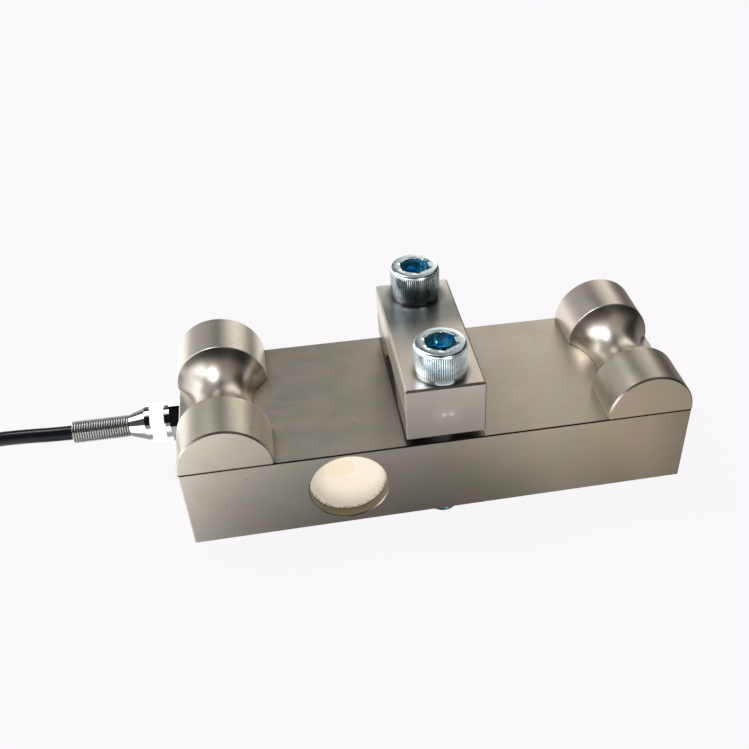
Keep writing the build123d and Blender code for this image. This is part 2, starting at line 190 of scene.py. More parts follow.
def makeCamera(v):
    a, e, roll = (math.radians(v[key]) for key in ("azimuth", "elevation", "roll"))
    forward = -Vector((math.sin(a) * math.cos(e), -math.cos(a) * math.cos(e), math.sin(e)))
    right = forward.cross(Vector((0, 0, 1))).normalized()
    down = forward.cross(right)
    c, s = math.cos(roll), math.sin(roll)
    right, down = c * right + s * down, -s * right + c * down
    data = bpy.data.cameras.new("camera")
    data.sensor_width = v["sensor"]
    data.lens = v["focal"] / v["frameSize"] * v["sensor"]
    data.shift_x = 0.5 - v["axisPixel"][0] / v["frameSize"]
    data.shift_y = v["axisPixel"][1] / v["frameSize"] - 0.5
    data.clip_start = v["nearest"]
    camera = bpy.data.objects.new("camera", data)
    turned = Matrix((right, -down, -forward)).transposed().to_4x4()
    camera.matrix_world = Matrix.Translation(Vector(v["place"]) * mm) @ turned
    bpy.context.scene.collection.objects.link(camera)
    bpy.context.scene.camera = camera


makeCamera(view)
bpy.context.scene.view_settings.view_transform = "Standard"
print("camera made")

# Cable, in mm
cable = {
    "radius": 2.7, "sides": 18, "fineness": 4, "sharpFrom": 60,
    "route": [
        (-128.77, 16.3, 21.9), (-136.2, 16.3, 21.9), (-147.5, 17.4, 21.9), (-161.5, 19.0, 21.0),
        (-175.5, 21.7, 15.5), (-189.0, 25.4, 7.3), (-202.0, 28.4, 3.7), (-215.0, 28.4, 3.7),
    ],
    "coilCentre": (-241.0, -14.5), "coilBase": 1.0, "meanRadius": 32.4,
    "columns": 5, "layers": 3, "stepsPerTurn": 24,
    # Degrees round the coil: where it starts and ends, and where each turn steps to the next place
    "startAngle": 90, "endAngle": 310, "stepAngle": 205, "stepSweep": 40,
}


def coilPoints(c):
    # Each turn keeps its column and steps to the next one in a short sector, in and out by layers
    turn = 2 * c["radius"]
    columns = list(range(c["columns"]))
    order = [(column, layer) for layer in range(c["layers"])
             for column in (columns[::-1] if layer % 2 == 0 else columns)]
    angle, step = c["startAngle"], 360 / c["stepsPerTurn"]
    last = c["endAngle"] + 360 * (len(order) - 1)
    correction = 1 / math.cos(math.radians(step) / 2)  # the curve runs inside its control points
    points = []
    while angle <= last:
        passed = (angle - c["stepAngle"]) / 360 + 1
        k = max(0, min(len(order) - 1, math.floor(passed)))
        into = min(1.0, max(0.0, (passed - k) * 360 / c["stepSweep"])) if k else 1.0
        before, after = order[max(k - 1, 0)], order[k]
        ease = into * into * (3 - 2 * into)
        column, layer = (before[i] + (after[i] - before[i]) * ease for i in (0, 1))
        radius = (c["meanRadius"] + (column - (c["columns"] - 1) / 2) * turn) * correction
        a = math.radians(angle)
        points.append((
            c["coilCentre"][0] + radius * math.cos(a),
            c["coilCentre"][1] + radius * math.sin(a),
            c["coilBase"] + c["radius"] + layer * turn,
        ))
        angle += step
    return points


def smoothLine(points, fineness):
    # The control points' own smooth line, as points in mm
    data = bpy.data.curves.new("line", "CURVE")
    data.dimensions = "3D"
    data.resolution_u = fineness
    spline = data.splines.new("NURBS")
    spline.points.add(len(points) - 1)
    for slot, point in zip(spline.points, points):
        slot.co = (*(v * mm for v in point), 1)
    spline.order_u = 3
    spline.use_endpoint_u = True
    carrier = bpy.data.objects.new("line", data)
    bpy.context.scene.collection.objects.link(carrier)
    mesh = bpy.data.meshes.new_from_object(carrier)
    line = [vertex.co / mm for vertex in mesh.vertices]
    bpy.data.objects.remove(carrier)
    bpy.data.meshes.remove(mesh)
    return line


def angles(count):
    return [2 * math.pi * i / count for i in range(count)]


def tubeRings(line, radius, sides):
    # Rings square to the line, without twist from one to the next
    rings = []
    side = Vector((0, 0, 1))
    for i, point in enumerate(line):
        along = (line[min(i + 1, len(line) - 1)] - line[max(i - 1, 0)]).normalized()
        side = (side - along * side.dot(along)).normalized()
        other = along.cross(side)
        r = radius(i) if callable(radius) else radius
        rings.append([point + side * (r * math.cos(a)) + other * (r * math.sin(a)) for a in angles(sides)])
    return rings


def gridPiece(name, rings, sharpFrom=None, closeRings=True, capEnds=True):
    # A mesh from rings of points in mm, each with the same count. Edges are sharp from an angle, 0 for all
    mesh = bpy.data.meshes.new(name)
    build = bmesh.new()
    made = [[build.verts.new(Vector(p) * mm) for p in ring] for ring in rings]
    count = len(rings[0])
    for lower, upper in zip(made, made[1:]):
        for i in range(count if closeRings else count - 1):
            j = (i + 1) % count
            build.faces.new((lower[i], lower[j], upper[j], upper[i]))
    if capEnds:
        build.faces.new(made[0][::-1])
        build.faces.new(made[-1])
    bmesh.ops.recalc_face_normals(build, faces=build.faces)
    build.to_mesh(mesh)
    build.free()
    for face in mesh.polygons:
        face.use_smooth = sharpFrom != 0
    if sharpFrom:
        mesh.set_sharp_from_angle(angle=math.radians(sharpFrom))
    piece = bpy.data.objects.new(name, mesh)
    bpy.context.scene.collection.objects.link(piece)
    return piece


cableLine = smoothLine(cable["route"] + coilPoints(cable), cable["fineness"])
cableRings = tubeRings(cableLine, cable["radius"], cable["sides"])
cablePiece = gridPiece("cable_jacket", cableRings, cable["sharpFrom"])
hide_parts("cable", "cable_coil")
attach(cablePiece, "root")
print("cable made")


# Clamp screws: knurled socket heads, plain shanks and threaded ends, in mm
clampScrew = {
    "places": {"clamp_screw_front": -25.0, "clamp_screw_rear": 25.0},
    "length": 60.0, "headHeight": 12.0, "centre": 0.05,  # the caps' small middle faces
    "ridges": 76, "ridgeDepth": 0.34, "stepsPerRidge": 5,
    # The head's side from its seat up: radius, height, share of the ridges' depth
    "side": [
        (0.05, 0.0, 0.0), (8.3, 0.0, 0.0), (8.6, 0.3, 0.0), (8.6, 1.65, 0.0), (8.72, 1.9, 0.0),
        (8.88, 2.2, 0.55), (9.0, 2.5, 1.0), (9.0, 10.4, 1.0), (8.9, 10.8, 0.6), (8.78, 10.95, 0.0),
    ],
    "rimAcross": 0.88, "rimSteps": 5, "topRadius": 6.6,
    "flats": 10.0, "socketDepth": 6.5, "socketMouth": 5.2, "cone": 1.8,
    "mouthLip": 0.08, "cornerLip": 0.12, "mouthDrop": 0.1,
    "shank": 5.97, "threadLength": 36.0, "pitch": 1.75, "threadDepth": 0.95, "turnSteps": 48,
    # The thread's profile as shares of its pitch and depth
    "threadProfile": [(0.0, 0.0), (0.10, 1.0), (0.28, 1.0), (0.62, 0.0), (1.0, 0.0)],
    "tipLength": 1.2, "tipSlope": 0.9, "coreInset": 1.0, "coreTip": (0.02, 0.12), "runOut": 1.0,
    "headSharp": 38, "threadSharp": 30, "coreSharp": 35,
}


def hexRadius(angle, flats):
    sector = math.radians(60)
    return flats / 2 / math.cos((angle + sector / 2) % sector - sector / 2)


def screwHead(name, s, y):
    seat, top = s["length"], s["length"] + s["headHeight"]
    around = angles(s["ridges"] * s["stepsPerRidge"])

    def ring(radius, z, knurl=0.0):
        points = []
        for i, a in enumerate(around):
            inGroove = i % s["stepsPerRidge"] == 0
            r = radius - knurl * s["ridgeDepth"] * inGroove
            points.append((r * math.cos(a), y + r * math.sin(a), z))
        return points

    def hexRing(height, mouth=0.0, lip=0.0):
        # The hexagon, or the mouth's circle where that is wider. Below the mouth the chamfer cuts the flats
        points = []
        for a in around:
            r = max(hexRadius(a, s["flats"]) + lip, mouth)
            z = height if mouth else height - max(0.0, s["socketMouth"] - r)
            points.append((r * math.cos(a), y + r * math.sin(a), z))
        return points

    rings = [ring(radius, seat + height, knurl) for radius, height, knurl in s["side"]]
    sideRadius, sideHeight, _ = s["side"][-1]
    for k in range(1, s["rimSteps"] + 1):
        turn = math.radians(90 * k / s["rimSteps"])
        rings.append(ring(sideRadius - s["rimAcross"] * (1 - math.cos(turn)),
                          seat + sideHeight + (s["headHeight"] - sideHeight) * math.sin(turn)))
    rings += [
        ring(s["topRadius"], top), hexRing(top, s["socketMouth"] + s["mouthLip"], s["cornerLip"]),
        hexRing(top - s["mouthLip"], s["socketMouth"]), hexRing(top - s["mouthDrop"]),
        hexRing(top - s["socketDepth"]), ring(s["centre"], top - s["socketDepth"] - s["cone"]),
    ]
    return gridPiece(name, rings, s["headSharp"])


def screwThread(name, s, y):
    # One helical strip from the tip up to the plain shank
    last, end = int(s["turnSteps"] * (s["threadLength"] / s["pitch"])), s["threadLength"] + s["pitch"]
    strips = []
    for i in range(last + 1):
        a = 2 * math.pi * i / s["turnSteps"]
        strip = []
        for along, cut in s["threadProfile"]:
            z = s["pitch"] * i / s["turnSteps"] + along * s["pitch"]
            tip = max(0.0, s["tipLength"] - z) * s["tipSlope"]  # the tip's chamfer
            r = s["shank"] - max(cut * s["threadDepth"], tip)
            strip.append((r * math.cos(a), y + r * math.sin(a), max(0.0, min(z, end))))
        strips.append(strip)
    return gridPiece(name, strips, s["threadSharp"], closeRings=False, capEnds=False)


def screwCore(name, s, y):
    shank, core, (low, high) = s["shank"], s["shank"] - s["coreInset"], s["coreTip"]
    side = [(s["centre"], low), (core - (high - low), low), (core, high), (core, s["threadLength"]),
            (shank, s["threadLength"] + s["runOut"]), (shank, s["length"]), (s["centre"], s["length"])]
    rings = [[(r * math.cos(a), y + r * math.sin(a), z) for a in angles(s["turnSteps"])] for r, z in side]
    return gridPiece(name, rings, s["coreSharp"])


def joined(name, pieces):
    for piece in bpy.context.selected_objects:
        piece.select_set(False)
    for piece in pieces:
        piece.select_set(True)
    bpy.context.view_layer.objects.active = pieces[0]
    bpy.ops.object.join()
    pieces[0].name = name
    return pieces[0]


screwPieces = []
for node, y in clampScrew["places"].items():
    piece = joined(node + "_detail", [screwHead(node + "_head", clampScrew, y),
                                      screwThread(node + "_thread", clampScrew, y),
                                      screwCore(node + "_core", clampScrew, y)])
    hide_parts(node)
    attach(piece, "root")
    screwPieces.append(piece)
print("clamp screws made")

# Spring strain relief: a close-wound wire, in mm
spring = {
    "radius": 4.2, "wire": 0.365, "pitch": 0.87, "turns": 22.9, "seatTurns": 2.5, "seatRadius": 3.6,
    "start": -110.5, "axis": (16.3, 21.9), "stepsPerTurn": 40, "sides": 10,
}


def springPiece(s):
    rings = []
    lean = s["pitch"] / (2 * math.pi * (s["radius"] - s["wire"]))
    for i in range(-int(s["seatTurns"] * s["stepsPerTurn"]), int(s["turns"] * s["stepsPerTurn"]) + 1):
        turned = i / s["stepsPerTurn"]
        a = 2 * math.pi * turned
        seated = min(1.0, max(0.0, -turned))  # the first turns are wound narrower, inside the nut
        middle = s["radius"] + (s["seatRadius"] - s["radius"]) * seated - s["wire"]
        ring = []
        for b in angles(s["sides"]):
            r = middle + s["wire"] * math.cos(b)
            along = s["wire"] * math.sin(b)
            ring.append((s["start"] - s["wire"] - turned * s["pitch"] - along,
                         s["axis"][0] + r * math.cos(a) + lean * along * math.sin(a),
                         s["axis"][1] + r * math.sin(a) - lean * along * math.cos(a)))
        rings.append(ring)
    return gridPiece("strain_relief_wire", rings)


springWire = springPiece(spring)
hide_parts("strain_relief_spring")
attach(springWire, "root")
print("spring made")


# The end sleeve, the four cores' stripped ends and the coil's tie, in mm and degrees
def onArc(ring, angle, height):
    a = math.radians(angle)
    x, y = cable["coilCentre"]
    return Vector((x + ring * math.cos(a), y + ring * math.sin(a), height))


sleeve = {
    "ring": 21.25, "height": 14.85, "from": 310.0, "sweep": 34.0, "steps": 40, "sides": 28,
    "radius": 3.05, "shrunk": 2.75, "mouth": 2.2, "lip": 0.5, "wave": 0.03, "waveStep": 1.3,
    "shrinkSteps": 3, "lipSteps": 2, "mouthSteps": 3, "sharpFrom": 40,
}


def sleevePiece(s):
    steps, shrunk, lip = s["steps"], s["shrunk"], s["lip"]
    line = [onArc(s["ring"], s["from"] + s["sweep"] * i / steps, s["height"]) for i in range(steps + 1)]

    def radius(i):
        # Shrunk close at the jacket's end, open at the cores' end, and ridged lightly by the cores inside
        start, end = min(1.0, i / s["shrinkSteps"]), min(1.0, (steps - i) / s["lipSteps"])
        full = s["radius"] - s["wave"] * (1 + math.sin(i * s["waveStep"]))
        return min(full, shrunk + (full - shrunk) * start, s["radius"] - lip + lip * end)

    rings = tubeRings(line, radius, s["sides"])
    narrow = s["mouth"] / (s["radius"] - lip)
    mouth = [line[-1] + (p - line[-1]) * narrow for p in rings[-1]]
    inside = [p - (line[-1] - line[-1 - s["mouthSteps"]]) for p in mouth]
    return gridPiece("end_sleeve_detail", rings + [mouth, inside], s["sharpFrom"])


cores = {
    "radius": 0.6, "bare": 0.43, "strip": 5.0, "from": 344.0, "base": 11.8, "step": 1.25,
    "steps": 120, "sides": 14, "cut": 0.02, "tip": 0.7, "strands": 3, "strandDepth": 0.10, "twist": 0.9,
    "sharpFrom": 35,
    # Sweep, and place across and up in the bundle
    "lay": {"end_red": (88.0, -1, 0), "end_black": (80.0, 0, 0), "end_green": (94.0, 1, 0),
            "end_white": (84.0, 0, 1)},
}


def corePiece(name, s, sweep, across, up):
    # Insulation up to the strip, then twisted tinned strands
    ring = sleeve["ring"] + across * s["step"]
    height = s["base"] + (2 * up + 1) * s["step"] / 2
    line = [onArc(ring, s["from"] + sweep * i / s["steps"], height) for i in range(s["steps"] + 1)]
    strip = int(s["steps"] * (1 - s["strip"] / (math.radians(sweep) * ring)))
    line.insert(strip + 1, line[strip] + (line[strip + 1] - line[strip]) * s["cut"])

    def radius(i):
        if i <= strip:
            return s["radius"]
        return s["bare"] * (s["tip"] if i == len(line) - 1 else 1)

    rings = tubeRings(line, radius, s["sides"])
    for i in range(strip + 1, len(rings)):
        strands = [math.sin(s["strands"] * (a + i * s["twist"])) > 0 for a in angles(s["sides"])]
        rings[i] = [line[i] + (p - line[i]) * (1 - s["strandDepth"] * low)
                    for p, low in zip(rings[i], strands)]
    piece = gridPiece(name + "_detail", rings, s["sharpFrom"])
    for face in piece.data.polygons:
        face.material_index = int(face.index >= strip * s["sides"])  # the stripped part is tinned
    return piece


tie = {
    "angle": 205.0, "inner": 18.7, "outer": 46.1, "low": 1.0, "high": 17.2, "thick": 0.9, "width": 4.6,
    "corner": 2.2, "cornerSteps": 8, "ribStep": 0.55, "ribDepth": 0.16, "edge": 0.2, "ribFrom": 0.62,
    "ribTo": 0.58, "strapSharp": 30,
    "lock": (5.8, 4.6), "sunk": 0.25, "lockCorner": 0.5, "lockCornerSteps": 3, "lockSharp": 40,
    # The lock from its foot up over its pawl window: in from the left, the right and the ends, and height
    "lockRings": [(0.0, 0.0, 0.0, 0.0), (0.0, 0.0, 0.0, 2.95), (0.12, 0.12, 0.12, 3.18),
                  (0.35, 0.35, 0.35, 3.3), (1.3, 1.5, 1.0, 3.3), (1.4, 1.6, 1.1, 1.9)],
    "stub": 2.2, "stubRise": 0.5, "stubIn": 0.5, "stubThin": 0.1,
}


def roundedCorners(x0, x1, y0, y1, corner, steps):
    # Points round a rectangle with rounded corners, each with its outward way
    points = []
    for x, y, start in ((x1 - corner, y0 + corner, -90), (x1 - corner, y1 - corner, 0),
                        (x0 + corner, y1 - corner, 90), (x0 + corner, y0 + corner, 180)):
        for k in range(steps + 1):
            a = math.radians(start + 90 * k / steps)
            points.append((x + corner * math.cos(a), y + corner * math.sin(a), math.cos(a), math.sin(a)))
    return points


def tiePiece(s):
    a = math.radians(s["angle"])
    outward, sideways = Vector((math.cos(a), math.sin(a), 0)), Vector((-math.sin(a), math.cos(a), 0))
    origin = Vector((*cable["coilCentre"], 0))

    def at(radial, height, along):
        return origin + outward * radial + Vector((0, 0, height)) + sideways * along

    # The strap's middle line goes round the bundle, in steps of a quarter rib
    half, wide = s["thick"] / 2, s["width"] / 2
    line = roundedCorners(s["inner"] - half, s["outer"] + half, s["low"] - half, s["high"] + half,
                          s["corner"], s["cornerSteps"])
    fine = []
    for here, there in zip(line, line[1:] + line[:1]):
        gap = math.hypot(there[0] - here[0], there[1] - here[1])
        count = max(1, round(gap / (s["ribStep"] / 4)))
        fine += [[p + (q - p) * k / count for p, q in zip(here, there)] for k in range(count)]
    fine.append(fine[0])
    edge, ribFrom, ribTo = s["edge"], s["ribFrom"] * wide, s["ribTo"] * wide
    rings = []
    for i, (px, pz, nx, nz) in enumerate(fine):
        rib = half - s["ribDepth"] * (i % 4 in (0, 1))
        profile = [(half, edge - wide), (half, -ribFrom), (rib, -ribTo), (rib, ribTo), (half, ribFrom),
                   (half, wide - edge), (half - edge, wide), (edge - half, wide), (-half, wide - edge),
                   (-half, edge - wide), (edge - half, -wide), (half - edge, -wide)]
        rings.append([at(px + nx * out, pz + nz * out, along) for out, along in profile])
    strap = gridPiece("cable_tie_strap", rings, s["strapSharp"], capEnds=False)
    # The lock: a moulded block with rounded edges, a pawl window on top and the strap's cut stub
    middle, foot = cable["meanRadius"], s["high"] + s["thick"] - s["sunk"]
    halfX, halfY = (side / 2 for side in s["lock"])
    rings = []
    for left, right, ends, height in s["lockRings"]:
        x0, x1, y0, y1 = left - halfX, halfX - right, ends - halfY, halfY - ends
        outline = roundedCorners(x0, x1, y0, y1, min(s["lockCorner"], (x1 - x0) / 4), s["lockCornerSteps"])
        rings.append([at(middle + x, foot + height, y) for x, y, _, _ in outline])
    lock = gridPiece("cable_tie_lock", rings, s["lockSharp"])
    side, low, tall = halfY - s["stubIn"], foot + s["stubRise"], s["thick"] - s["stubThin"]
    section = ((-side, low), (side, low), (side, low + tall), (-side, low + tall))
    rings = [[at(middle + reach, z, along) for along, z in section]
             for reach in (0.0, halfX, halfX + s["stub"])]
    stub = gridPiece("cable_tie_stub", rings, sharpFrom=0)
    return joined("cable_tie_detail", [strap, lock, stub])


coilPieces = {"end_sleeve": sleevePiece(sleeve), "cable_tie": tiePiece(tie)}
for node, (sweep, across, up) in cores["lay"].items():
    coilPieces[node] = corePiece(node, cores, sweep, across, up)
for node, piece in coilPieces.items():
    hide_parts(node)
    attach(piece, "root")
print("coil's tie and end made")


# Finishes. Places on the object are in metres: x along the rope, y to the rear, z up
nickel = {
    "tone": (0.615, 0.582, 0.520), "rough": 0.35,
    "olive": (0.585, 0.560, 0.45), "pink": (0.65, 0.530, 0.490), "halfLength": 0.09,
    "cloudDark": 0.78, "brushDark": 0.80, "layDark": 0.74, "pitDark": 0.4,
    # The rope's grooves are turned smooth. The left one has painted shade on its rear flank, the right
    # one on its right flank
    "groove": {
        "from": 0.058, "seat": 0.0372, "half": 0.0149, "saddle": 0.0743, "rough": 0.305,
        "rearFlank": [(0.0035, 0), (0.0135, 1)], "leftPart": [(0.002, 1), (0.012, 0.3)],
        "rearPaintedShade": (0.78, 0.05), "rearShadeTone": 0.34,  # left groove, right groove
        "rightFlank": [(0.0045, 0), (0.0165, 1)], "rightPaintedShade": (0.05, 0.65), "rightShadeTone": 0.38,
    },
    # The long faces carry painted shade, darkest in the middle and at the right end: place, strength of the
    # painted shade
    "face": {
        "from": 0.0341, "below": 0.0369, "paintedShade": (0.28, 0.27, 0.25),
        "shadeAlong": [(-0.090, 0.0), (-0.070, 0.08), (-0.045, 0.22), (0.0, 0.30), (0.022, 0.0), (0.055, 0.0),
                  (0.075, 0.15), (0.090, 0.60)],
    },
    # Painted light and shade along the clamp bar's top and sides, from the front end to the rear
    "bar": {
        "half": 0.0152, "from": 0.0395, "top": (0.05985, 0.0602), "sideFrom": 0.01385, "end": 0.0341,
        "endHalf": 0.0140, "archHalf": 0.0139, "arch": (0.0365, 0.0490), "archReach": 0.0338,
        "topPaintedLight": [(-0.034, (0.99, 0.90, 0.84)), (-0.014, (0.94, 0.85, 0.78)),
                     (0.000, (0.72, 0.68, 0.62)), (0.007, (0.34, 0.35, 0.34)), (0.015, (0.28, 0.30, 0.30)),
                     (0.022, (0.48, 0.51, 0.52)), (0.034, (0.92, 0.96, 0.97))],
        "sidePaintedShade": [(-0.034, (0.16, 0.14, 0.12)), (-0.008, (0.22, 0.20, 0.18)),
                      (0.010, (0.50, 0.48, 0.45)), (0.030, (0.92, 0.91, 0.91)), (0.034, (0.92, 0.91, 0.91))],
        # Painted shadow round the screws and in the arch, and painted shade for the bar's ends
        "paintedShadow": (0.16, 0.14, 0.12), "screw": 0.025, "endPaintedShade": (0.38, 0.365, 0.355),
        "ring": [(0.0086, 1), (0.00996, 0.75), (0.0120, 0)], "foot": [(0.0088, 1), (0.0104, 0)],
    },
    # The long top edges carry a painted dark reflection, and a dark line runs along the saddles' seats
    "edge": {
        "darkLine": (0.055, 0.035, 0.03), "beam": (0.03655, 0.03705), "beamFrom": 0.03385,
        "seat": (0.03702, 0.0373), "bar": 0.0597, "barFrom": 0.0339, "barHalf": 0.02,
    },
    # The gauge pockets' walls keep a bare olive tone
    "pocket": {"tone": (0.235, 0.215, 0.145), "centre": (-0.0346, 0.0219), "radius": 0.01385,
               "below": 0.0340},
    # Milling rings on the clamp bar's ends, painted as a highlight, with two painted glints
    "swirl": {
        "centre": (0.0005, 0.0487), "reach": [(0.0, 1), (0.00224, 0.6), (0.0064, 0)],
        "radiansPerMetre": 6800, "softCentre": 0.0000004, "tone": (0.98, 0.96, 0.94),
        "glintAcross": 0.0012, "glint": [(0.0, 1), (0.0013, 0)], "paintedGlint": (0.98, 0.93, 0.91),
    },
}


def satinNickel(name, n):
    f = Finish(name)
    place = f.place()
    x, y, z = f.axes(place)
    offX, offY = x.size(), y.size()  # away from the middle, to either side
    brushed = f.noise(place, (60, 4200, 4200), 4.0, 0.7)
    lay = f.noise(place, (70, 800, 800), 3.0, 0.6)
    streaks = f.noise(place, (500, 60, 60), 3.0, 0.6)
    fine = f.noise(place, 2600, 3.0, 0.6)
    patches = f.noise(place, 46, 5.0, 0.62)
    broad = f.noise(place, 15, 3.0, 0.55)
    blotches = f.noise(place, 105, 4.0, 0.6)
    pits = f.noise(place, 520, 1.0, 0.5)
    tone, groove, face, bar, edge = (n[key] for key in ("tone", "groove", "face", "bar", "edge"))
    pocket, swirl = n["pocket"], n["swirl"]

    # The plate: olive and pink clouds, darker patches and the brushed lay
    colour = f.blend(f.ramp(broad, [(0.38, 0), (0.62, 1)]), tone, n["olive"])
    toRight = span(x, -n["halfLength"], n["halfLength"]) * 0.65 + 0.35
    colour = f.blend(f.ramp(blotches, [(0.50, 0), (0.64, 1)]) * toRight, colour, n["pink"])
    colour = f.blend(f.ramp(patches, [(0.34, 1), (0.47, 0)]) * 0.40, colour, shade(tone, n["cloudDark"]))
    onGroove = offX.above(groove["from"]) * z.above(groove["seat"]) * offY.below(groove["half"])
    offGroove = 1 - onGroove
    colour = f.blend(((brushed - 0.5) * 0.5 + 0.12) * offGroove, colour, shade(tone, n["brushDark"]))
    laid = f.ramp(lay, [(0.40, 0), (0.70, 1)]) * 0.26
    colour = f.blend(laid * offGroove, colour, shade(tone, n["layDark"]))

    atRight = x.above(0.0)
    local = x - (atRight * (2 * groove["saddle"]) - groove["saddle"])

    def perGroove(left, right):
        return left + atRight * (right - left)

    # Painted shade on the grooves' flanks
    rearFlank = onGroove * f.ramp(y, groove["rearFlank"]) * f.ramp(local, groove["leftPart"])
    colour = f.blend(rearFlank * perGroove(*groove["rearPaintedShade"]), colour, shade(tone, groove["rearShadeTone"]))
    rightFlank = onGroove * f.ramp(local, groove["rightFlank"])
    colour = f.blend(rightFlank * perGroove(*groove["rightPaintedShade"]), colour, shade(tone, groove["rightShadeTone"]))

    # Painted shade along the long faces
    onFace = offY.above(face["from"]) * z.below(face["below"])
    uneven = (patches - 0.5) * 0.8 + 1
    colour = f.blend(onFace * f.ramp(x, face["shadeAlong"]) * uneven, colour, face["paintedShade"])

    # The clamp bar: painted light and shade along its top, a painted shadow ring and foot round each screw,
    # painted shade on its sides and in its arch
    onBar = offX.below(bar["half"]) * z.above(bar["from"])
    onTop = onBar * z.within(*bar["top"])
    colour = f.blend(onTop * (streaks * 0.3 + 0.8), colour, f.ramp(y, bar["topPaintedLight"]))
    fromScrew = distance(x, offY - bar["screw"])
    ring = f.ramp(fromScrew, bar["ring"]) * (y.above(0.0) * 0.7 + 0.15)
    colour = f.blend(onTop * ring, colour, bar["paintedShadow"])
    colour = f.blend(onTop * f.ramp(fromScrew, bar["foot"]) * 0.75, colour, bar["paintedShadow"])
    onSide = onBar * offX.above(bar["sideFrom"]) * offY.below(bar["end"])
    colour = f.blend(onSide * 0.85, colour, f.ramp(y, bar["sidePaintedShade"]))
    inArch = offX.below(bar["archHalf"]) * z.within(*bar["arch"]) * offY.below(bar["archReach"])
    colour = f.blend(inArch * 0.85, colour, bar["paintedShadow"])

    # Painted dark reflection along the long top edges, and a dark line along the saddles' seats
    beamEdge = z.within(*edge["beam"]) * offY.above(edge["beamFrom"])
    barEdge = z.above(edge["bar"]) * offY.above(edge["barFrom"]) * offX.below(edge["barHalf"])
    darkLines = beamEdge + barEdge * 0.8 + z.within(*edge["seat"]) * 0.8
    colour = f.blend(darkLines * 0.95, colour, edge["darkLine"])

    fromPocket = distance(x - pocket["centre"][0], z - pocket["centre"][1])
    inPocket = fromPocket.below(pocket["radius"]) * offY.below(pocket["below"])
    colour = f.blend(inPocket, colour, pocket["tone"])
    pitted = f.ramp(pits, [(0.0, 1), (0.20, 1), (0.22, 0)])
    colour = f.blend(pitted * 0.6, colour, shade(tone, n["pitDark"]))

    across, up = x - swirl["centre"][0], z - swirl["centre"][1]
    fromSwirl = distance(across, up)
    rings = (fromSwirl * swirl["radiansPerMetre"]).sine() * 0.5 + 0.5
    lobes = across * across / (fromSwirl * fromSwirl + swirl["softCentre"])
    onEnd = offY.above(bar["end"]) * z.above(bar["from"]) * offX.below(bar["endHalf"])
    near = f.ramp(fromSwirl, swirl["reach"])
    # Painted shade on the bar's ends, a painted highlight over the milling rings, and two painted glints
    colour = f.blend(onEnd * 0.6, colour, bar["endPaintedShade"])
    cut = (rings * 0.25 + 0.12) * (lobes * 0.7 + 0.5) * (patches * 1.8)
    colour = f.blend(onEnd * near * cut, colour, swirl["tone"])
    glint = f.ramp(distance(across.size() - swirl["glintAcross"], up), swirl["glint"])
    colour = f.blend(onEnd * glint * (fine * 2.4 - 0.5), colour, swirl["paintedGlint"])

    uneven = (brushed - 0.5) * 0.14 + (blotches - 0.5) * 0.10 + (lay - 0.5) * 0.07 + (fine - 0.5) * 0.06
    rough = uneven * (1 - onGroove * 0.8) + n["rough"]
    rough = rough + onGroove * (groove["rough"] - n["rough"]) - onEnd * near * rings * 0.04
    height = (brushed * 0.6 + fine * 0.4) * (1 - onGroove * 0.8)
    return f.surface({"Base Color": colour, "Metallic": 1.0, "Roughness": rough,
                      "Normal": f.bump(height, 0.12, 0.00006)})


chrome = {"tone": (0.90, 0.90, 0.885), "bright": (0.96, 0.96, 0.95), "rough": 0.055}


def brightChrome(name, c):
    f = Finish(name)
    place = f.place()
    haze = f.noise(place, 380, 3.0, 0.6)
    smear = f.noise(place, (200, 1400, 1400), 2.0, 0.5)
    return f.surface({"Base Color": f.blend(haze, c["tone"], c["bright"]), "Metallic": 1.0,
                      "Roughness": c["rough"] + haze * 0.05 + (smear - 0.5) * 0.03,
                      "Normal": f.bump(haze, 0.04, 0.00005)})


drawn = {"tone": (0.33, 0.35, 0.35), "bright": (0.45, 0.47, 0.47), "rough": 0.20}


def drawnWire(name, d):
    f = Finish(name)
    haze = f.noise(f.place(), 260, 3.0, 0.6)
    return f.surface({"Base Color": f.blend(haze, d["tone"], d["bright"]), "Metallic": 1.0,
                      "Roughness": d["rough"] + haze * 0.06})


zinc = {
    "tone": (0.62, 0.77, 0.87), "bright": (0.82, 0.93, 0.99), "spot": (0.16, 0.20, 0.23), "rough": 0.22,
    "dirt": (0.06, 0.08, 0.09), "rearSideShade": (0.22, 0.28, 0.31),
    "deepBlue": (0.07, 0.45, 0.69), "paleBlueHighlight": (0.60, 0.95, 1.0),
    # The screws' distance from the middle, and places on them as radii and heights
    "screw": 0.025, "socketRadius": 0.0060, "socket": (0.0640, 0.07185),
    "ridgeRadii": (0.0085, 0.00884), "ridges": (0.0621, 0.0706),
    "sideRadius": 0.0084, "side": (0.0600, 0.0709),
}


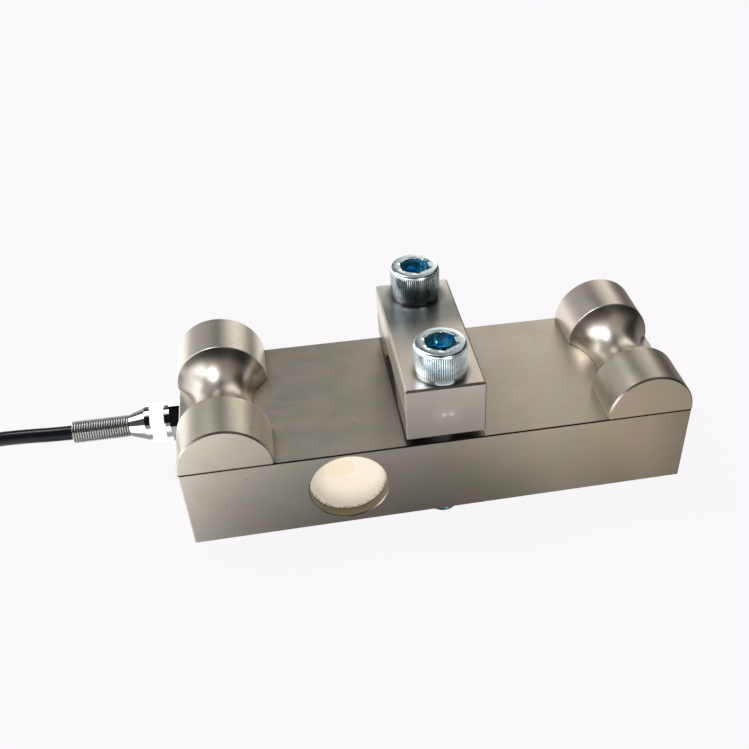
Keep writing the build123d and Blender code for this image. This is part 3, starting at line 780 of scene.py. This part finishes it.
def blueZinc(name, c):
    f = Finish(name)
    place = f.place()
    x, y, z = f.axes(place)
    worn = f.noise(place, 420, 4.0, 0.65)
    spots = f.noise(place, 1500, 2.0, 0.6)
    deep = f.noise(place, 150, 2.0, 0.5)
    fromAxis = distance(x, y.size() - c["screw"])
    outside = f.blend(f.ramp(worn, [(0.35, 0), (0.65, 1)]), c["tone"], c["bright"])
    outside = f.blend(f.ramp(spots, [(0.28, 1), (0.38, 0)]), outside, c["spot"])
    # Dirt and painted shade lie between the head's ridges, and the rear screw's ridged side has painted
    # shade
    betweenRidges = fromAxis.within(*c["ridgeRadii"]) * z.within(*c["ridges"])
    outside = f.blend(betweenRidges * 0.7, outside, c["dirt"])
    onRearSide = fromAxis.above(c["sideRadius"]) * z.within(*c["side"]) * y.above(0.0)
    outside = f.blend(onRearSide * 0.55, outside, c["rearSideShade"])
    # Inside the socket the passivation lies thick and blue, its pale patches partly a painted highlight
    inside = f.blend(f.ramp(deep, [(0.40, 0), (0.60, 1)]), c["deepBlue"], c["paleBlueHighlight"])
    inSocket = fromAxis.below(c["socketRadius"]) * z.within(*c["socket"])
    uneven = ((worn - 0.5) * 0.20 + (spots - 0.5) * 0.10) * (1 - inSocket * 0.7)
    return f.surface({"Base Color": f.blend(inSocket, outside, inside), "Metallic": 1 - inSocket * 0.06,
                      "Roughness": uneven + c["rough"] - inSocket * 0.16,
                      "Normal": f.bump(worn * 0.5 + spots * 0.5, 0.10, 0.00008)})


potting = {
    "tone": (0.89, 0.82, 0.71), "warm": (0.85, 0.76, 0.62), "beige": (0.84, 0.70, 0.50),
    "crescentShade": (0.56, 0.52, 0.44), "dirt": (0.12, 0.10, 0.07), "grain": (0.55, 0.47, 0.35),
    "rough": 0.42, "gloss": 0.4,
    # Places in x and z
    "centre": (-0.0346, 0.0219), "rim": 0.0131, "rimBelow": 0.0200,
    "patch": (-0.0380, 0.0272), "patchHalf": (0.0066, 0.0040), "bright": (-0.0325, 0.0250),
    "crescentShadeReach": [(0.0093, 0), (0.0153, 1)],
}


def castCompound(name, c):
    f = Finish(name)
    place = f.place()
    x, y, z = f.axes(place)
    cloud = f.noise(place, 90, 3.0, 0.5)
    grainy = f.noise(place, 800, 3.0, 0.6)
    specks = f.noise(place, 1100, 1.0, 0.5)
    colour = f.blend(f.ramp(cloud, [(0.35, 0), (0.70, 1)]), c["tone"], c["warm"])
    # A beige patch near the top, and a greyer crescent of painted shade low at the left
    across, up = ((axis - middle) * (1 / half)
                  for axis, middle, half in zip((x, z), c["patch"], c["patchHalf"]))
    outward = across * across + up * up + (cloud - 0.5) * 1.2
    colour = f.blend(f.ramp(outward, [(0.0, 1), (0.80, 0.9), (1.0, 0)]) * 0.6, colour, c["beige"])
    fromUnshadedCentre = distance(x - c["bright"][0], z - c["bright"][1]) + (cloud - 0.5) * 0.003
    colour = f.blend(f.ramp(fromUnshadedCentre, c["crescentShadeReach"]) * 0.85, colour, c["crescentShade"])
    atRim = distance(x - c["centre"][0], z - c["centre"][1]).above(c["rim"]) * z.below(c["rimBelow"])
    dirty = specks.below(0.21) + atRim * specks.below(0.46)
    colour = f.blend(dirty * 0.8, colour, c["dirt"])
    colour = f.blend(grainy * 0.15, colour, c["grain"])
    return f.surface({"Base Color": colour, "Roughness": c["rough"] + (cloud - 0.5) * 0.2,
                      "Specular IOR Level": c["gloss"],
                      "Normal": f.bump(cloud * 0.7 + grainy * 0.3, 0.25, 0.0004)})


jackets = {  # tone, roughness, gloss
    "bridge_wire": ((0.50, 0.10, 0.05), 0.3, 0.5),
    "core_red": ((0.55, 0.04, 0.03), 0.35, 0.5), "core_black": ((0.03, 0.03, 0.03), 0.35, 0.5),
    "core_green": ((0.03, 0.26, 0.07), 0.35, 0.5), "core_white": ((0.74, 0.74, 0.71), 0.35, 0.5),
    "black_jacket": ((0.003, 0.004, 0.007), 0.15, 0.20),
}


def glossyJacket(name, tone, rough, gloss):
    f = Finish(name)
    place = f.place()
    wavy = f.noise(place, 240, 3.0, 0.55)
    fine = f.noise(place, 2200, 2.0, 0.5)
    lighter = tuple(level * 1.5 + 0.004 for level in tone)
    return f.surface({"Base Color": f.blend(wavy, tone, lighter), "Specular IOR Level": gloss,
                      "Roughness": rough + (wavy - 0.5) * 0.12 + (fine - 0.5) * 0.05,
                      "Normal": f.bump(wavy * 0.7 + fine * 0.3, 0.12, 0.0002)})


rubbers = {  # tone, roughness
    "black_rubber": ((0.022, 0.022, 0.023), 0.62), "tie_nylon": ((0.03, 0.03, 0.03), 0.45),
}


def mattRubber(name, tone, rough):
    f = Finish(name)
    fine = f.noise(f.place(), 1800, 3.0, 0.6)
    lighter = tuple(level * 1.6 + 0.005 for level in tone)
    return f.surface({"Base Color": f.blend(fine, tone, lighter), "Roughness": rough + (fine - 0.5) * 0.2,
                      "Normal": f.bump(fine, 0.3, 0.0002)})


board = {
    "tone": (0.10, 0.22, 0.08), "pale": (0.16, 0.30, 0.12), "pad": (0.75, 0.74, 0.72), "padFrom": 0.0043,
}


def terminalBoard(name, b):
    f = Finish(name)
    place = f.place()
    x, y, z = f.axes(place)
    onPad = y.size().above(b["padFrom"])
    weave = f.noise(place, 1500, 2.0, 0.5)
    return f.surface({"Base Color": f.blend(onPad, f.blend(weave, b["tone"], b["pale"]), b["pad"]),
                      "Metallic": onPad, "Roughness": 0.35 + (weave - 0.5) * 0.2})


film = {
    "tone": (0.60, 0.34, 0.08), "foil": (0.70, 0.52, 0.36), "middle": -0.0346, "half": 0.0035, "lines": 9000,
}


def gaugeFilm(name, g):
    f = Finish(name)
    x, y, z = f.axes(f.place())
    foil = ((x + z) * g["lines"]).sine().above(0.1) * (x - g["middle"]).size().below(g["half"])
    return f.surface({"Base Color": f.blend(foil, g["tone"], g["foil"]), "Roughness": 0.3 + foil * 0.1,
                      "Metallic": foil * 0.8})


finishes = {
    "satin_nickel": satinNickel("satin_nickel", nickel),
    "bright_chrome": brightChrome("bright_chrome", chrome),
    "spring_steel": drawnWire("spring_steel", drawn),
    "tinned_wire": drawnWire("tinned_wire", drawn),
    "blue_zinc": blueZinc("blue_zinc", zinc),
    "potting": castCompound("potting", potting),
    "gauge_film": gaugeFilm("gauge_film", film),
    "terminal_board": terminalBoard("terminal_board", board),
    **{name: glossyJacket(name, *values) for name, values in jackets.items()},
    **{name: mattRubber(name, *values) for name, values in rubbers.items()},
}


def dress(piece, slot):
    piece.data.materials.clear()
    piece.data.materials.append(finishes[slot])


for node, piece in [*nodes.items(), *coilPieces.items()]:
    dress(piece, slotOf[node])
dress(cablePiece, "black_jacket")
dress(springWire, "spring_steel")
for piece in screwPieces:
    dress(piece, "blue_zinc")
for node in cores["lay"]:
    coilPieces[node].data.materials.append(finishes["tinned_wire"])
print("finishes made")

# Studio: a pale floor and backdrop, surroundings in soft bands, and soft lamps
studio = {
    "backdrop": (0.965, 0.947, 0.973), "floorHalf": 3.0, "glowSeen": 0.96, "glowShine": 0.82,
    # What the metal sees of the floor: dimmer close round the object, and from left to right
    "shades": [((-0.008, -0.030), (0.074, 0.068)), ((-0.118, 0.0), (0.030, 0.016))],
    "shadeSteps": [(0.0, 0.16), (0.25, 0.20), (0.6, 0.38), (1.1, 0.56), (1.5, 0.95), (2.0, 1.3), (2.6, 1.6)],
    "floorAcross": [(-0.30, (1.20, 1.18, 1.16)), (-0.105, (1.20, 1.18, 1.16)), (-0.094, (0.76, 0.75, 0.73)),
                    (0.0, (0.91, 0.88, 0.84)), (0.045, (0.98, 0.93, 0.85)), (0.070, (0.54, 0.48, 0.40)),
                    (0.10, (0.32, 0.28, 0.23)), (0.14, (0.20, 0.18, 0.15)), (0.30, (0.10, 0.09, 0.08))],
    # Light of the surroundings by angle: front horizon 0, over the top, back horizon 180
    "bands": [(-180, 0.60), (-8, 0.80), (0, 1.15), (19, 1.15), (27, 0.03), (81, 0.03), (88, 0.9),
              (118, 0.9), (126, 0.15), (144, 0.15), (150, 0.66), (180, 0.66)],
    # And by how far to the left or right it comes from
    "sides": [(-1.0, (3.6, 3.5, 3.5)), (-0.78, (3.6, 3.5, 3.5)), (-0.66, (0.70, 0.68, 0.68)),
              (-0.45, (0.70, 0.68, 0.68)), (-0.3, (0.33, 0.33, 0.32)), (-0.12, (0.19, 0.20, 0.19)),
              (0.06, (0.42, 0.40, 0.38)), (0.18, (2.2, 2.09, 1.89)), (0.30, (2.6, 2.45, 2.20)),
              (0.42, (2.9, 2.74, 2.46)), (0.49, (2.4, 2.26, 2.03)), (0.55, (0.4, 0.37, 0.33)),
              (0.68, (0.05, 0.05, 0.04)), (1.0, (0.05, 0.05, 0.05))],
    # Overhead it is a window at the left and plain to the right of it
    "windowBand": [(-180, 0), (80, 0), (88, 1), (118, 1), (126, 0), (180, 0)],
    "window": [(-1.0, (4.4, 4.3, 4.3)), (-0.70, (4.4, 4.3, 4.3)), (-0.55, (1.0, 0.96, 0.93)),
               (-0.20, (0.60, 0.58, 0.55)), (0.55, (0.50, 0.47, 0.42)), (0.80, (0.20, 0.19, 0.17)),
               (1.0, (0.06, 0.06, 0.05))],
    # A small panel overhead that the gland's flats mirror: the way it lies, how wide it is, its light
    "panel": {"way": (-0.148, 0.130, 0.980), "edge": [(0.0, 1), (0.072, 1), (0.09, 0)],
              "light": (1.4, 1.4, 1.37)},
    "lamps": {
        "key": {"place": (-0.5, 0.5, 1.1), "aim": (0, 0, 0.03), "size": 0.5, "power": 5.0,
                "mirrored": True},
        "front": {"place": (0.1, -1.5, 0.32), "aim": (0, 0, 0.02), "size": 0.6, "power": 14.0,
                  "mirrored": False},
    },
}


def makeFloor(s):
    half = s["floorHalf"] / mm
    floor = gridPiece("floor", [[(-half, -half, 0), (half, -half, 0)], [(-half, half, 0), (half, half, 0)]],
                      closeRings=False, capEnds=False)
    f = Finish("floor")
    seen, shine, through = (f.node("ShaderNodeLightPath", out=ray)
                            for ray in ("Is Camera Ray", "Is Glossy Ray", "Is Transmission Ray"))
    x, y, z = f.axes(f.place())
    nearest = s["shadeSteps"][-1][0]
    for (centreX, centreY), (halfX, halfY) in s["shades"]:
        across, along = (x - centreX) * (1 / halfX), (y - centreY) * (1 / halfY)
        nearest = (across * across + along * along).least(nearest)
    dim = f.blend(1.0, f.ramp(nearest, s["shadeSteps"]), f.ramp(x, s["floorAcross"]), "MULTIPLY")
    glow = f.node("ShaderNodeEmission", None, {"Color": f.blend(seen, dim, s["backdrop"])})
    plain = f.node("ShaderNodeBsdfDiffuse", None, {"Color": s["backdrop"]})
    glowing = (seen + through) * s["glowSeen"] + shine * s["glowShine"]
    mix = f.node("ShaderNodeMixShader", None, {0: glowing, 1: plain, 2: glow})
    f.node("ShaderNodeOutputMaterial", None, {"Surface": mix})
    floor.data.materials.append(f.owner)


def makeWorld(s):
    world = bpy.data.worlds.new("studio")
    bpy.context.scene.world = world
    f = Finish("studio", world)
    seen = f.node("ShaderNodeLightPath", out="Is Camera Ray")
    x, y, z = f.axes(f.node("ShaderNodeTexCoord", out="Generated"))
    overhead = z.maths("ARCTAN2", z, y * -1) * (180 / math.pi)
    sides = f.blend(f.ramp(overhead, s["windowBand"]), f.ramp(x, s["sides"]), f.ramp(x, s["window"]))
    around = f.blend(1.0, f.ramp(overhead, s["bands"]), sides, "MULTIPLY")
    fromPanel = distance(*(axis - middle for axis, middle in zip((x, y, z), s["panel"]["way"])))
    lit = f.blend(f.ramp(fromPanel, s["panel"]["edge"]), around, s["panel"]["light"])
    colour = f.blend(seen, lit, s["backdrop"])
    back = f.node("ShaderNodeBackground", None, {"Color": colour, "Strength": 1.0})
    f.node("ShaderNodeOutputWorld", None, {"Surface": back})


def makeLamps(s):
    for name, lamp in s["lamps"].items():
        data = bpy.data.lights.new(name, "AREA")
        data.shape = "SQUARE"
        data.size = lamp["size"]
        data.energy = lamp["power"]
        piece = bpy.data.objects.new(name, data)
        piece.location = lamp["place"]
        piece.rotation_mode = "QUATERNION"
        piece.rotation_quaternion = (Vector(lamp["aim"]) - Vector(lamp["place"])).to_track_quat("-Z", "Y")
        piece.visible_glossy = lamp["mirrored"]
        bpy.context.scene.collection.objects.link(piece)


makeFloor(studio)
makeWorld(studio)
makeLamps(studio)
print("studio made")
